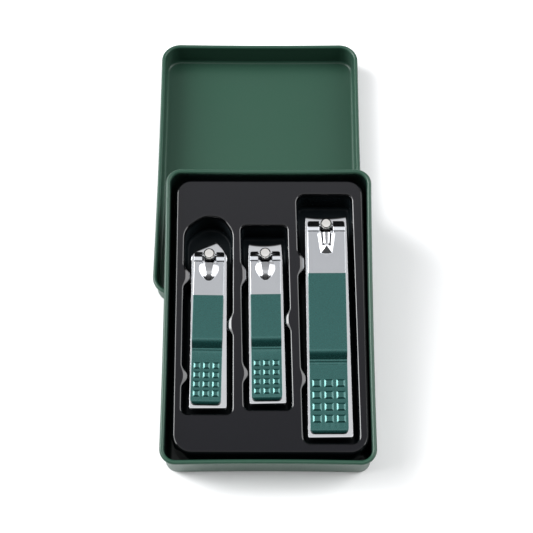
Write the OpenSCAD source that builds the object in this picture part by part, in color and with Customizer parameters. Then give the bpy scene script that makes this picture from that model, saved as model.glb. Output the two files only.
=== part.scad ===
// Manicure set case: a pressed tin in two halves. The wider half, the lid, lies on its back.
// The base leans on the lid's front rim and holds a black formed tray with three nail clippers:
// a slant-edged one, a small one and a large one, each with its lever folded flat over its jaws.
// Units are millimetres. +Z is up, +Y runs from the near edge of the base to the far edge of the lid.
// The origin is the centre of the footprint, on the surface that the set stands on.

/* [Tin] */
// Width of the base over its rolled rim
base_w = 74; // [70:0.5:78]
// Length of the base over its rolled rim
base_l = 108.3; // [106:0.1:112]
// Height of the base to the top of its rim
base_h = 20; // [19:0.5:24]
// How much wider and longer the lid is than the base
lid_extra = 3.6; // [3.5:0.1:5]
// Height of the lid to the top of its rim
lid_h = 10; // [8:0.5:14]
// Radius of the rolled rim's bead
bead_r = 0.8; // [0.7:0.05:1]
// Thickness of the sheet metal
sheet = 0.4; // [0.3:0.05:0.6]
// Corner radius of the base, over the rim
corner_r = 5.5; // [4:0.5:9]
// Radius where a wall turns into the floor
foot_r = 1.2; // [1:0.1:2]
// Angle at which the base leans on the lid
tilt = 8.8; // [5:0.1:14]
// Sideways offset of the base from the lid
side_offset = 3.6; // [0:0.1:6]
// Gap between the base and the rim that it leans on
lean_gap = 0.05; // [0.02:0.01:0.2]

/* [Tray] */
// Height of the tray's top above the underside of the base
tray_top = 17; // [16.5:0.1:17.5]
// Thickness of the formed plastic sheet
tray_t = 0.8; // [0.6:0.1:1]
// Height of the deepest pocket floor
pocket_floor = 5; // [4:0.1:9.4]
// Width of the tray's top
tray_w = 66; // [64:0.5:68]
// Length of the tray's top
tray_l = 100.2; // [98:0.2:101]
// Corner radius of the tray's top
tray_r = 7; // [5:0.5:9]

/* [Clippers] */
// Length of the small clipper, rear end to cutting edge
small_l = 59.1; // [58.5:0.1:60]
// Length of the slant clipper, rear end to tip
slant_l = 61.2; // [60.8:0.1:62]
// Length of the large clipper, rear end to cutting edge
large_l = 81.4; // [80.8:0.1:82]
// Width of the small and slant clippers at the rear
small_w = 12.9; // [12:0.1:13.2]
// Width of the large clipper at the rear
large_w = 15.4; // [14.5:0.1:15.6]
// Width of the small and slant levers
small_lever_w = 10.6; // [9.5:0.1:10.8]
// Width of the large lever
large_lever_w = 13.2; // [12:0.1:13.4]
// Radius of a clipper's post
post_r = 1.85; // [1.7:0.05:1.9]
// Running clearance round a post and a lever's cross-bar
run = 0.05; // [0.03:0.01:0.08]

/* [Hidden] */
$fn = 64;
eps = 0.01;

green = [0.23, 0.41, 0.34];
lever_green = [0.21, 0.41, 0.37];
chrome = [0.80, 0.81, 0.83];
black = [0.13, 0.13, 0.14];

lid_w = base_w + lid_extra;
lid_l = base_l + lid_extra;
wall_in = 2 * bead_r;              // inner face of a wall, in from the outside of the rim
wall_out = wall_in - sheet;        // outer face of a wall, in from the outside of the rim

// Where the base stands: its near foot touches the surface, its floor clears the lid's near bead.
base_dz = -((wall_out + foot_r) * sin(tilt) + foot_r * cos(tilt) - foot_r);
lean_y = (lid_h - bead_r + (bead_r + lean_gap) / cos(tilt) - base_dz) / tan(tilt);
near_y = bead_r * cos(tilt) - (base_h - bead_r) * sin(tilt) - bead_r;
far_y = lean_y - bead_r + lid_l;
base_y = -(near_y + far_y) / 2;
lid_y = base_y + lean_y - bead_r + lid_l / 2;
lid_x = -side_offset / 4;
base_x = lid_x + side_offset;

// Clippers in the tin's own frame: x from the tin's centre, y from its near rim, then heading.
slant_pos = [-20.85, 20.7];
slant_head = 0.3;
small_pos = [-0.1, 22.4];
small_head = 1.15;
large_pos = [21.5, 10.5];
large_head = 0.7;

// A clipper's heights above the tin's underside.
bar_z = 17.6;                      // centre of the lever's cross-bar
leaf_top = 14.6;                   // top of the upper jaw at its rear
bar_back = 0.3;                    // the cross-bar lies this far behind the post's centre

// Small clippers: [leaf thickness, post y, hinge y, rise at the post, edge height, lever sheet]
small_t = 1.2;
large_t = 1.4;
leaf_gap = 0.06;
small_post_y = 53.9;
slant_post_y = 55.3;
large_post_y = 77.0;
hinge_y = 6;

// ---------------------------------------------------------------- general shapes

// Rounded rectangle centred on the origin.
module rrect(w, l, r) {
  square([w - 2 * r, l], center = true);
  square([w, l - 2 * r], center = true);
  for (x = [-1, 1], y = [-1, 1]) translate([x * (w / 2 - r), y * (l / 2 - r)]) circle(r);
}

// Round bar along the outline of a rounded rectangle; w and l are over the bar.
module bead_loop(w, l, r, br) {
  cr = r - br;
  for (s = [-1, 1]) {
    translate([s * (w / 2 - br), 0, 0]) rotate([90, 0, 0]) cylinder(r = br, h = l - 2 * r, center = true);
    translate([0, s * (l / 2 - br), 0]) rotate([0, 90, 0]) cylinder(r = br, h = w - 2 * r, center = true);
  }
  for (q = [0:3])
    translate([(q == 0 || q == 3 ? 1 : -1) * (w / 2 - r), (q < 2 ? 1 : -1) * (l / 2 - r), 0])
      rotate([0, 0, 90 * q]) rotate_extrude(angle = 90) translate([cr, 0]) circle(br);
}

// Block of a rounded rectangle whose lower edge is rounded by fr.
module foot_block(w, l, r, h, fr) {
  translate([0, 0, fr]) linear_extrude(h - fr) rrect(w, l, r);
  linear_extrude(fr + eps) rrect(w - 2 * fr, l - 2 * fr, r - fr);
  translate([0, 0, fr]) bead_loop(w, l, r, fr);
}

// Pressed tin half: thin walls and floor under a rolled rim, open at the top, outside of the floor at z = 0.
module tin_half(w, l, h, r) {
  ow = w - 2 * wall_out;
  ol = l - 2 * wall_out;
  difference() {
    union() {
      foot_block(ow, ol, r - wall_out, h - bead_r, foot_r);
      translate([0, 0, h - bead_r]) bead_loop(w, l, r, bead_r);
    }
    translate([0, 0, sheet])
      foot_block(ow - 2 * sheet, ol - 2 * sheet, r - wall_in, h, foot_r - sheet);
  }
}

// Carries the tin's own frame into the set's frame.
module in_tin() {
  translate([base_x, base_y, base_dz]) rotate([tilt, 0, 0]) children();
}

// Carries a clipper's own frame (rear end at y = 0, edge towards +y) into the set's frame.
module in_clipper(pos, head) {
  in_tin() translate([pos[0], pos[1], 0]) rotate([0, 0, head]) children();
}

// Side profile, given as [y, z] points, extruded across the width w.
module across(w) {
  translate([-w / 2, 0, 0]) rotate([90, 0, 90]) linear_extrude(w) children();
}

// ---------------------------------------------------------------- tin

module lid_shell() color(green) {
  translate([lid_x, lid_y, 0]) tin_half(lid_w, lid_l, lid_h, corner_r + lid_extra / 2);
}

module base_shell() color(green) {
  in_tin() translate([0, base_l / 2, 0]) tin_half(base_w, base_l, base_h, corner_r);
}

// ---------------------------------------------------------------- tray

tray_x = 0.6;
tray_y = 54.6;

// Outlines of the pockets in the tin's own frame, each grown by g.
module slant_pocket(g) {
  translate([-21.2, 49.7]) difference() {
    union() {
      rrect(17.6 + 2 * g, 63 + 2 * g, 3 + g);
      intersection() {
        translate([1.2, 31.5]) circle(9.6 + g);
        translate([-8.8 - g, 20]) square([17.6 + 2 * g, 40]);
      }
    }
    pocket_nub([-8.8, 18.8], 1, 2.2, g);
    pocket_nub([-8.8, -18], 1, 2.2, g);
    pocket_nub([8.8, 0.9], -1, 1.6, g);
  }
}

module small_pocket(g) {
  translate([-0.85, 53.65]) rotate([0, 0, 1.25]) difference() {
    rrect(17 + 2 * g, 68 + 2 * g, 3 + g);
    pocket_nub([-8.5, 15.5], 1, 2, g);
    pocket_nub([-8.5, -21], 1, 2, g);
    pocket_nub([8.5, -1.5], -1, 1.5, g);
  }
}

module large_pocket(g) {
  translate([20.9, 53.3]) rotate([0, 0, 1.05]) difference() {
    rrect(20 + 2 * g, 91 + 2 * g, 3 + g);
    pocket_nub([-10, 20], 1, 2, g);
    pocket_nub([-10, -22.5], 1, 2, g);
  }
}

// Nub that holds a clipper in its pocket: bulges from the wall at p towards side s by d.
module pocket_nub(p, s, d, g) {
  nr = 7;
  translate([p[0] - s * (nr - d), p[1]]) circle(nr - g);
}

module all_pockets(g) {
  slant_pocket(g);
  small_pocket(g);
  large_pocket(g);
}

module insert_tray() color(black) {
  in_tin() {
    difference() {
      union() {
        // top sheet and skirt
        translate([tray_x, tray_y, 0]) difference() {
          translate([0, 0, 0.8]) linear_extrude(tray_top - 0.8) rrect(tray_w, tray_l, tray_r);
          translate([0, 0, 0]) linear_extrude(tray_top - tray_t) rrect(tray_w - 2 * tray_t, tray_l - 2 * tray_t, tray_r - tray_t);
        }
        // pocket walls and floors
        translate([0, 0, pocket_floor - tray_t]) linear_extrude(tray_top - pocket_floor + tray_t - eps) all_pockets(tray_t);
        // foot flange round the skirt
        translate([0, base_l / 2, 0.8]) linear_extrude(tray_t)
          difference() {
            rrect(base_w - 2 * wall_in - 0.8, base_l - 2 * wall_in - 0.8, corner_r - wall_in - 0.4);
            translate([tray_x, tray_y - base_l / 2]) rrect(tray_w - 2 * tray_t, tray_l - 2 * tray_t, tray_r - tray_t);
          }
      }
      translate([0, 0, pocket_floor]) linear_extrude(tray_top) all_pockets(0);
    }
    // rib on each pocket's floor, under the rear of its clipper
    for (q = [[slant_pos, slant_head, small_t, 34], [small_pos, small_head, small_t, 34], [large_pos, large_head, large_t, 50]])
      translate([q[0][0], q[0][1] + 2, pocket_floor - eps]) rotate([0, 0, q[1]])
        translate([-3, 0, 0]) cube([6, q[3], leaf_top - 2 * q[2] - leaf_gap - pocket_floor - 1.2]);
  }
}

// ---------------------------------------------------------------- clippers

// Side profile of an upper jaw: flat over the hinge, then springing up to the post and down to the edge.
function jaw_profile(l, py, t, rise, edge) = [
  [0, leaf_top - t], [hinge_y, leaf_top - t], [py - 2, leaf_top - t + rise - 0.05], [l - 2.6, leaf_top - t + rise + 0.05],
  [l - 1.2, edge + 0.25], [l - 0.35, edge], [l, edge + 0.12], [l - 0.5, edge + 0.95],
  [l - 1.9, leaf_top + rise - 0.1], [l - 3.4, leaf_top + rise + 0.1], [py - 2, leaf_top + rise], [hinge_y, leaf_top], [0, leaf_top]];

// Plan of a straight jaw: slightly wider at the rear, cutting edge hollowed.
module jaw_plan(l, w, we) {
  r = 1;
  difference() {
    union() {
      polygon([[-w / 2, r], [-w / 2 + r, 0], [w / 2 - r, 0], [w / 2, r], [w / 2 - 0.2, l * 0.55],
               [we / 2 + 0.35, l - 6], [we / 2, l], [-we / 2, l], [-we / 2 - 0.35, l - 6], [-w / 2 + 0.2, l * 0.55]]);
      for (s = [-1, 1]) translate([s * (w / 2 - r), r]) circle(r);
    }
    translate([0, l - 0.55 + (we * we / 4 + 0.3025) / 1.1]) circle((we * we / 4 + 0.3025) / 1.1, $fn = 128);
  }
}

// Plan of the slanted jaw: the edge falls away to the left of the tip.
module slant_plan(l, w) {
  r = 1;
  polygon([[-w / 2, r], [-w / 2 + r, 0], [w / 2 - r, 0], [w / 2, r], [w / 2 - 0.2, l - 7], [w / 2 - 0.7, l - 3.6],
           [w / 2 - 1.7, l - 1.5], [2.6, l], [-4.1, l - 2.9], [-w / 2 + 0.7, l - 4.1], [-w / 2 + 0.1, l - 7]]);
  for (s = [-1, 1]) translate([s * (w / 2 - r), r]) circle(r);
}

// Blank of an upper jaw before its holes.
module jaw_blank(kind, l, w, py, t, rise, edge) {
  if (kind == "slant") {
    intersection() {
      union() {
        intersection() {
          across(w + 2) polygon(jaw_profile(l + 12, py, t, rise, edge));
          translate([-w, -1, 0]) cube([2 * w, l - 4.5, 40]);
        }
        // the nose turns down square to the slanted edge
        translate([2.6, l, 0]) rotate([0, 0, 23.2]) translate([0, -l, 0]) intersection() {
          across(3 * w) polygon(jaw_profile(l, py, t, rise, edge));
          translate([-w, l - 9, 0]) cube([2 * w, 10, 40]);
        }
      }
      linear_extrude(40) slant_plan(l, w);
    }
  } else {
    intersection() {
      across(w + 2) polygon(jaw_profile(l, py, t, rise, edge));
      linear_extrude(40) jaw_plan(l, w, w - (kind == "large" ? 1.1 : 1.4));
    }
  }
}

// Mirrors children in the plane where a clipper's jaws meet.
module below(t) {
  zm = leaf_top - t - leaf_gap / 2;
  translate([0, 0, zm]) mirror([0, 0, 1]) translate([0, 0, -zm]) children();
}

module upper_jaw(kind, l, w, py, t, rise, edge) {
  difference() {
    jaw_blank(kind, l, w, py, t, rise, edge);
    translate([0, py, 0]) cylinder(r = post_r + 0.45, h = 40);
    translate([0, hinge_y, 0]) cylinder(r = 1.25, h = 40);
    // countersink for the rivet's head
    translate([0, hinge_y, leaf_top - 0.68]) cylinder(r = 2.25, h = 5);
  }
}

module lower_jaw(kind, l, w, py, t, rise, edge) {
  difference() {
    below(t) jaw_blank(kind, l, w, py, t, rise, edge);
    translate([0, py, 0]) cylinder(r = post_r + run, h = 40);
    translate([0, hinge_y, 0]) cylinder(r = 1.1, h = 40);
    below(t) translate([0, hinge_y, leaf_top - 0.55]) cylinder(r = 2.1, h = 5);
  }
}

// Rivet through the rear of both jaws, its heads sunk flush.
module rivet(t) {
  zb = leaf_top - 2 * t - leaf_gap;
  translate([0, hinge_y, zb + 0.05]) {
    cylinder(r = 1.1, h = 2 * t + leaf_gap - 0.15);
    cylinder(r = 2.1, h = 0.5);
    translate([0, 0, 2 * t + leaf_gap - 0.55]) cylinder(r = 2.1, h = 0.4);
  }
}

// Post: foot flange under the jaws, shank, notch for the cross-bar and a chamfered head.
module post(py, t, rise) {
  zl = leaf_top - 2 * t - leaf_gap - rise;        // underside of the lower jaw at the post
  rb = 0.75 + run;
  translate([0, py, 0]) {
    difference() {
      union() {
        translate([0, 0, zl - 0.85]) cylinder(r = 2.9, h = 0.7);
        translate([0, 0, zl - 0.5]) cylinder(r = post_r, h = bar_z + 1.6 - zl + 0.5);
        translate([0, 0, bar_z + 1.6]) cylinder(r1 = post_r, r2 = post_r - 0.35, h = 0.35);
      }
      // notch, open to the rear, with a round end for the bar
      translate([0, -bar_back, bar_z]) rotate([0, 90, 0]) cylinder(r = rb, h = 12, center = true);
      translate([-6, -bar_back - 6, bar_z - rb]) cube([12, 6, 2 * rb]);
    }
  }
}

// Side profile of a lever, measured back from the cross-bar: arm, step down, thumb pad.
function lever_profile(step, end, h) = [
  [-0.4, h], [-step, h], [-step - 1, h - 0.3], [-step - 2, h - 1.4], [-step - 3, h - 1.85], [-end + 0.9, h - 1.85],
  [-end, h - 2.4], [-end, -h - 1.85], [-step - 2.2, -h - 1.85], [-step - 1.3, -h - 1.45], [-step - 0.1, -h - 0.3], [-step + 0.8, -h], [-0.4, -h]];

// Row of n raised blocks along y for the thumb pad, as a side profile on height z0.
module ridge_row(n, first, pitch, len, z0, rise) {
  for (i = [0:n - 1]) {
    a = first + i * pitch;
    polygon([[a, z0 - 0.2], [a + len, z0 - 0.2], [a + len, z0], [a + len - 0.45, z0 + rise], [a + 0.45, z0 + rise], [a, z0]]);
  }
}

// Lever, folded flat: cross-bar in the post's notch, ears, window for the post, cam, arm and thumb pad.
module lever(py, swing, w, step, end, h, ear_r, bump, pad) {
  bx = 2.45;
  translate([0, py - bar_back, bar_z]) rotate([0, 0, swing]) {
    // sheet, with the window that the post passes through
    difference() {
      intersection() {
        across(w) polygon(lever_profile(step, end, h));
        translate([0, 0, -10]) linear_extrude(20) {
          translate([0, -end / 2 + 1]) rrect(w, end + 2, 1.8);
        }
      }
      translate([-bx, -3.15, -5]) cube([2 * bx, 8, 10]);
    }
    // cross-bar and its two thicker ears
    rotate([0, 90, 0]) cylinder(r = 0.75, h = w - 0.6, center = true);
    for (s = [-1, 1]) translate([s * (bx + (w / 2 - 0.2 - bx) / 2), 0, 0]) rotate([0, 90, 0])
      cylinder(r = ear_r, h = w / 2 - 0.2 - bx, center = true);
    // cam pressed up out of the arm
    if (bump == "drop") {
      intersection() {
        translate([0, -6.45, h + 1.5 - 4.6]) sphere(4.6);
        translate([-6, -9.9, h - 0.2]) cube([12, 6.7, 4]);
      }
    } else {
      intersection() {
        across(12) polygon([[-3.2, h - 0.2], [-3.2, h + 1.4], [-5, h + 1.6], [-9.5, h + 1.2], [-11.4, h], [-11.4, h - 0.2]]);
        linear_extrude(8) polygon([[-3.6, -3.2], [3.6, -3.2], [1.9, -11.4], [-1.9, -11.4]]);
      }
    }
    // thumb pad ribs: rows crossed with columns
    intersection() {
      across(w) ridge_row(4, -pad[0], pad[1], pad[2], h - 1.85, 0.5);
      rotate([90, 0, 0]) linear_extrude(end + 5) ridge_row(3, -pad[3] - pad[4] / 2, pad[3], pad[4], h - 1.85, 0.5);
    }
  }
}

// ---- slant-edged clipper
slant_rise = 1.35;
module slant_lower_jaw() color(chrome) in_clipper(slant_pos, slant_head) lower_jaw("slant", slant_l, small_w, slant_post_y, small_t, slant_rise, 14.35);
module slant_upper_jaw() color(chrome) in_clipper(slant_pos, slant_head) upper_jaw("slant", slant_l, small_w, slant_post_y, small_t, slant_rise, 14.35);
module slant_rivet() color(chrome) in_clipper(slant_pos, slant_head) rivet(small_t);
module slant_post() color(chrome) in_clipper(slant_pos, slant_head) post(slant_post_y, small_t, slant_rise);
module slant_lever() color(lever_green) in_clipper(slant_pos, slant_head)
  lever(slant_post_y, -1, small_lever_w, 31, 53.8, 0.65, 1.3, "drop", [51.3, 3.33, 2.5, 3.3, 2.4]);

// ---- small clipper
small_rise = 1.35;
module small_lower_jaw() color(chrome) in_clipper(small_pos, small_head) lower_jaw("small", small_l, small_w - 0.3, small_post_y, small_t, small_rise, 14.35);
module small_upper_jaw() color(chrome) in_clipper(small_pos, small_head) upper_jaw("small", small_l, small_w - 0.3, small_post_y, small_t, small_rise, 14.35);
module small_rivet() color(chrome) in_clipper(small_pos, small_head) rivet(small_t);
module small_post() color(chrome) in_clipper(small_pos, small_head) post(small_post_y, small_t, small_rise);
module small_lever() color(lever_green) in_clipper(small_pos, small_head)
  lever(small_post_y, -0.3, small_lever_w, 30.7, 52.6, 0.65, 1.3, "drop", [50.5, 3.32, 2.4, 3.3, 2.4]);

// ---- large clipper
large_rise = 1.4;
module large_lower_jaw() color(chrome) in_clipper(large_pos, large_head) lower_jaw("large", large_l, large_w, large_post_y, large_t, large_rise, 14.35);
module large_upper_jaw() color(chrome) in_clipper(large_pos, large_head) upper_jaw("large", large_l, large_w, large_post_y, large_t, large_rise, 14.35);
module large_rivet() color(chrome) in_clipper(large_pos, large_head) rivet(large_t);
module large_post() color(chrome) in_clipper(large_pos, large_head) post(large_post_y, large_t, large_rise);
module large_lever() color(lever_green) in_clipper(large_pos, large_head)
  lever(large_post_y, -0.3, large_lever_w, 46.5, 75.4, 0.7, 1.35, "channel", [71.8, 4.2, 2.95, 4.15, 3.15]);

lid_shell();
base_shell();
insert_tray();
slant_lower_jaw();
slant_upper_jaw();
slant_rivet();
slant_post();
slant_lever();
small_lower_jaw();
small_upper_jaw();
small_rivet();
small_post();
small_lever();
large_lower_jaw();
large_upper_jaw();
large_rivet();
large_post();
large_lever();
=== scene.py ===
import math

import bmesh
import bpy
import numpy as np
from mathutils import Matrix, Vector
from mathutils.geometry import delaunay_2d_cdt

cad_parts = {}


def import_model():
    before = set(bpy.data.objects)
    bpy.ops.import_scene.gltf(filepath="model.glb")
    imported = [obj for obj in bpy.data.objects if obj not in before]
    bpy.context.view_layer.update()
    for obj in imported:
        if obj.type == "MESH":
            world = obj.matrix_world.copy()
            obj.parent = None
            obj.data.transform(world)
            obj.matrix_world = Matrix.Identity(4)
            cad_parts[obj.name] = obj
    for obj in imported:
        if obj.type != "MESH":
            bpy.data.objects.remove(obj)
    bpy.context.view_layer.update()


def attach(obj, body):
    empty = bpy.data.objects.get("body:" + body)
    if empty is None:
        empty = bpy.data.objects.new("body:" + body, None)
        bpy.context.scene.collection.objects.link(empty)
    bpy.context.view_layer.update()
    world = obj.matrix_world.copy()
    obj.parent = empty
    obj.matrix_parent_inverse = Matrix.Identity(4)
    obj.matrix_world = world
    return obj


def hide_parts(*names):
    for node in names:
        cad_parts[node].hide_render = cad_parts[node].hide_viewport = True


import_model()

# ------------------------------------------------------------------ places
# Lengths are millimetres until a piece is built, which carries it into metres.

MM = 0.001
TILT = math.radians(8.8)
BASE_AT = Vector((2.7, -87.709105, -0.353040))
LID_AT = Vector((-0.9, 34.705850, 0.0))
BASE_W, BASE_L, BASE_H, BASE_R = 74.0, 108.3, 20.0, 5.5
LID_W, LID_L, LID_H, LID_R = 77.6, 111.9, 10.0, 7.3
BEAD, SHEET = 0.8, 0.4

TIN = Matrix.Translation(BASE_AT) @ Matrix.Rotation(TILT, 4, "X")
LID = Matrix.Translation(LID_AT)

LEAF_TOP, LEAF_GAP, BAR_Z, BAR_BACK, HINGE_Y = 14.6, 0.06, 17.6, 0.3, 6.0
POST_R = 1.85

CLIPS = {
    "slant": dict(at=(-20.85, 20.7), head=0.3, l=61.2, w=12.9, t=1.2, py=55.3, rise=1.35,
                  lw=10.6, swing=-1.0, step=31.0, end=53.8, h=0.65, rows=51.3, row_p=3.33, row_l=2.5,
                  col_p=3.3, col_l=2.4, paint=14.9, win=3.0, shift=0.15),
    "small": dict(at=(-0.1, 22.4), head=1.15, l=59.1, w=12.6, t=1.2, py=53.9, rise=1.35,
                  lw=10.6, swing=-0.3, step=30.7, end=52.6, h=0.65, rows=50.5, row_p=3.32, row_l=2.4,
                  col_p=3.3, col_l=2.4, paint=14.8, win=3.0, shift=0.0),
    "large": dict(at=(21.5, 10.5), head=0.7, l=81.4, w=15.4, t=1.4, py=77.0, rise=1.4,
                  lw=13.2, swing=-0.3, step=46.5, end=75.4, h=0.7, rows=71.8, row_p=4.2, row_l=2.95,
                  col_p=4.15, col_l=3.15, paint=18.1, win=3.05, shift=0.0),
}


def clip_place(c):
    return TIN @ Matrix.Translation((c["at"][0], c["at"][1], 0)) @ Matrix.Rotation(math.radians(c["head"]), 4, "Z")


def lever_place(c):
    return (clip_place(c) @ Matrix.Translation((c["shift"], c["py"] - BAR_BACK, BAR_Z))
            @ Matrix.Rotation(math.radians(c["swing"]), 4, "Z"))


# ------------------------------------------------------------------ materials


class Nodes:
    """Short hand for one material's node tree."""

    def __init__(self, name):
        self.mat = bpy.data.materials.new(name)
        self.mat.use_nodes = True
        self.t = self.mat.node_tree
        self.bsdf = self.t.nodes["Principled BSDF"]
        self.coord = self.t.nodes.new("ShaderNodeTexCoord").outputs["Object"]

    def new(self, kind, **values):
        n = self.t.nodes.new(kind)
        for k, v in values.items():
            setattr(n, k, v)
        return n

    def link(self, a, b):
        self.t.links.new(a, b)

    def set(self, **values):
        for k, v in values.items():
            self.bsdf.inputs[k.replace("_", " ")].default_value = v

    def noise(self, scale, detail=3.0, rough=0.5, stretch=(1, 1, 1)):
        m = self.new("ShaderNodeMapping")
        m.inputs["Scale"].default_value = stretch
        self.link(self.coord, m.inputs["Vector"])
        n = self.new("ShaderNodeTexNoise")
        n.inputs["Scale"].default_value = scale
        n.inputs["Detail"].default_value = detail
        n.inputs["Roughness"].default_value = rough
        self.link(m.outputs["Vector"], n.inputs["Vector"])
        return n.outputs["Fac"]

    def cells(self, scale):
        n = self.new("ShaderNodeTexVoronoi")
        n.inputs["Scale"].default_value = scale
        self.link(self.coord, n.inputs["Vector"])
        sep = self.new("ShaderNodeSeparateColor")
        self.link(n.outputs["Color"], sep.inputs["Color"])
        return sep.outputs["Red"]

    def ramp(self, fac, stops):
        n = self.new("ShaderNodeValToRGB")
        e = n.color_ramp.elements
        while len(e) < len(stops):
            e.new(0.5)
        for el, (p, c) in zip(e, stops):
            el.position = p
            el.color = (c[0], c[1], c[2], 1.0) if not isinstance(c, float) else (c, c, c, 1.0)
        self.link(fac, n.inputs["Fac"])
        return n.outputs["Color"]

    def mix(self, fac, a, b, mode="MIX"):
        n = self.new("ShaderNodeMix", data_type="RGBA", blend_type=mode)
        if isinstance(fac, float):
            n.inputs["Factor"].default_value = fac
        else:
            self.link(fac, n.inputs["Factor"])
        for sock, v in ((n.inputs[6], a), (n.inputs[7], b)):
            if isinstance(v, tuple):
                sock.default_value = (v[0], v[1], v[2], 1.0)
            else:
                self.link(v, sock)
        return n.outputs[2]

    def math(self, op, a, b=None, clamp=False):
        n = self.new("ShaderNodeMath", operation=op, use_clamp=clamp)
        for i, v in enumerate((a, b)):
            if v is None:
                continue
            if isinstance(v, (int, float)):
                n.inputs[i].default_value = v
            else:
                self.link(v, n.inputs[i])
        return n.outputs[0]

    def remap(self, fac, lo, hi):
        n = self.new("ShaderNodeMapRange")
        self.link(fac, n.inputs["Value"])
        n.inputs["From Min"].default_value = 0.3
        n.inputs["From Max"].default_value = 0.7
        n.inputs["To Min"].default_value = lo
        n.inputs["To Max"].default_value = hi
        return n.outputs["Result"]

    def bump(self, height, strength, distance):
        n = self.new("ShaderNodeBump")
        n.inputs["Strength"].default_value = strength
        n.inputs["Distance"].default_value = distance
        self.link(height, n.inputs["Height"])
        return n.outputs["Normal"]

    def colour(self, c):
        self.link(c, self.bsdf.inputs["Base Color"])

    def rough(self, c):
        self.link(c, self.bsdf.inputs["Roughness"])

    def normal(self, c):
        self.link(c, self.bsdf.inputs["Normal"])


def tin_paint():
    m = Nodes("tin_green_satin")
    grain = m.noise(2600, 4.0, 0.6)
    cloud = m.noise(60, 3.0, 0.5)
    c = m.ramp(grain, [(0.25, (0.0185, 0.061, 0.038)), (0.75, (0.0265, 0.078, 0.052))])
    c = m.mix(m.remap(cloud, 0.0, 0.35), c, (0.0275, 0.070, 0.049))
    m.colour(c)
    m.rough(m.remap(grain, 0.31, 0.38))
    m.normal(m.bump(grain, 0.22, 0.00003))
    m.set(Specular_IOR_Level=0.38)
    return m.mat


def tin_shade():
    """Painted shade: a near-black green on the base's inner wall and floor, standing in for the shadow in the gap
    beside the tray.
    """
    m = Nodes("tin_inner_painted_shade")
    grain = m.noise(2600, 4.0, 0.6)
    m.colour(m.ramp(grain, [(0.25, (0.005, 0.014, 0.0115)), (0.75, (0.008, 0.020, 0.017))]))
    m.rough(m.remap(grain, 0.34, 0.42))
    m.normal(m.bump(grain, 0.2, 0.00003))
    return m.mat


def lever_paint():
    m = Nodes("lever_green_flake")
    flake = m.cells(7500)
    fine = m.noise(3000, 2.0, 0.5)
    c = m.ramp(flake, [(0.0, (0.0120, 0.083, 0.075)), (0.6, (0.0145, 0.091, 0.083)), (1.0, (0.0215, 0.111, 0.102))])
    c = m.mix(m.remap(fine, 0.0, 0.3), c, (0.0120, 0.081, 0.073))
    m.colour(c)
    m.rough(m.remap(flake, 0.22, 0.30))
    m.normal(m.bump(flake, 0.035, 0.00001))
    m.set(Metallic=0.7, Coat_Weight=0.55, Coat_Roughness=0.05)
    return m.mat


def lever_under_shade():
    """The lever's underside and lower rear face, painted near-black: painted shade for the shadow in the gap under the
    pad's end.
    """
    m = Nodes("lever_under_painted_shade")
    fine = m.noise(3000, 2.0, 0.5)
    m.colour(m.ramp(fine, [(0.3, (0.004, 0.011, 0.010)), (0.7, (0.007, 0.017, 0.016))]))
    m.rough(m.remap(fine, 0.35, 0.45))
    m.normal(m.bump(fine, 0.05, 0.00001))
    m.set(Specular_IOR_Level=0.3)
    return m.mat


def tray_satin():
    m = Nodes("tray_black_satin")
    grain = m.noise(3200, 3.0, 0.6)
    c = m.ramp(grain, [(0.3, (0.0026, 0.0027, 0.0046)), (0.7, (0.0042, 0.0044, 0.0068))])
    m.colour(c)
    # painted shade on the sheet's sheen, which is turned down towards the near end
    sep = m.new("ShaderNodeSeparateXYZ")
    m.link(m.coord, sep.inputs["Vector"])
    near_sheen_dim = m.new("ShaderNodeMapRange")
    m.link(sep.outputs["Y"], near_sheen_dim.inputs["Value"])
    near_sheen_dim.inputs["From Min"].default_value, near_sheen_dim.inputs["From Max"].default_value = -0.085, 0.012
    near_sheen_dim.inputs["To Min"].default_value, near_sheen_dim.inputs["To Max"].default_value = 0.22, 0.42
    m.link(near_sheen_dim.outputs["Result"], m.bsdf.inputs["Specular IOR Level"])
    m.rough(m.remap(grain, 0.20, 0.26))
    m.normal(m.bump(grain, 0.08, 0.00002))
    return m.mat


def tray_gloss():
    m = Nodes("tray_black_gloss")
    ripple = m.noise(130, 2.0, 0.4)
    c = m.ramp(ripple, [(0.3, (0.0012, 0.0013, 0.0017)), (0.7, (0.0022, 0.0023, 0.0029))])
    m.colour(c)
    m.rough(m.remap(ripple, 0.06, 0.10))
    m.normal(m.bump(ripple, 0.30, 0.0002))
    m.set(IOR=1.55, Coat_Weight=0.3, Coat_Roughness=0.04)
    return m.mat


def tray_well_shade():
    """The same sheet deep in the pockets with its reflection nearly taken away: painted shade for the pockets' dark
    depths.
    """
    m = Nodes("tray_well_painted_shade")
    ripple = m.noise(130, 2.0, 0.4)
    m.colour(m.ramp(ripple, [(0.3, (0.0075, 0.0115, 0.0135)), (0.7, (0.0115, 0.0160, 0.0185))]))
    m.rough(m.remap(ripple, 0.16, 0.24))
    m.normal(m.bump(ripple, 0.30, 0.0002))
    m.set(Specular_IOR_Level=0.05)
    return m.mat


def chrome(name, tone, lo, hi, streak=(1, 1, 1)):
    m = Nodes(name)
    haze = m.noise(900, 3.0, 0.55, streak)
    spots = m.noise(140, 2.0, 0.5)
    c = m.mix(m.remap(spots, 0.0, 0.5), tuple(tone), tuple(x * 0.95 for x in tone))
    m.colour(c)
    m.rough(m.remap(haze, lo, hi))
    m.normal(m.bump(haze, 0.06, 0.00001))
    m.set(Metallic=1.0)
    return m.mat


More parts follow.
